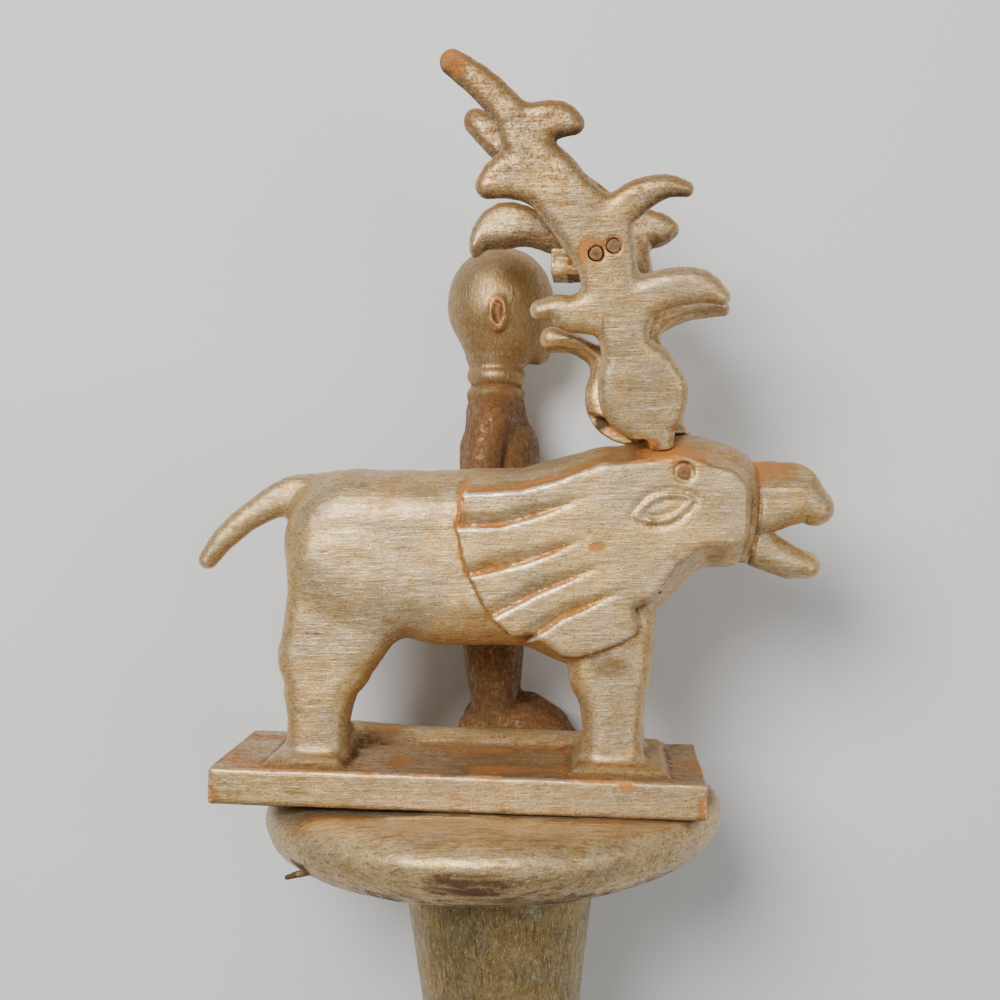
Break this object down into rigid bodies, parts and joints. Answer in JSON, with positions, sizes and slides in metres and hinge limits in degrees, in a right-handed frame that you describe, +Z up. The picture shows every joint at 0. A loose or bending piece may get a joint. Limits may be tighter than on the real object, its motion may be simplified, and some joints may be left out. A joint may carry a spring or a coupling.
{
  "type": "linguist staff",
  "caption": "Carved wooden staff lying on its side, topped by an open-jawed lion with tall branching antlers and a standing bald figure on a round disc.",
  "frame": {"origin": "bottom centre of the bounding box of the lying staff", "axes": "+Y along the staff towards the carved end, +X towards the lion's head, +Z up, which is the side the lion is on in front of the figure"},
  "size_m": [0.1976, 1.513, 0.1429],
  "materials": {
    "leafed_wood": "worn champagne-gold leaf over an orange-brown ground, semi-gloss",
    "neck_leaf": "worn olive-gold leaf over a brown ground, semi-gloss",
    "figure_leaf": "worn gold leaf over a brown-orange ground, semi-gloss",
    "bare_wood": "bare brown wood, matt"
  },
  "bodies": {
    "root": {"shaft": "neck_leaf", "disc": "leafed_wood", "lion": "leafed_wood", "antler_near": "leafed_wood", "antler_far": "leafed_wood", "antler_spacer": "leafed_wood", "antler_dowel_left": "bare_wood", "antler_dowel_right": "bare_wood", "head_pin": "bare_wood", "figure": "figure_leaf"}
  },
  "joints": []
}
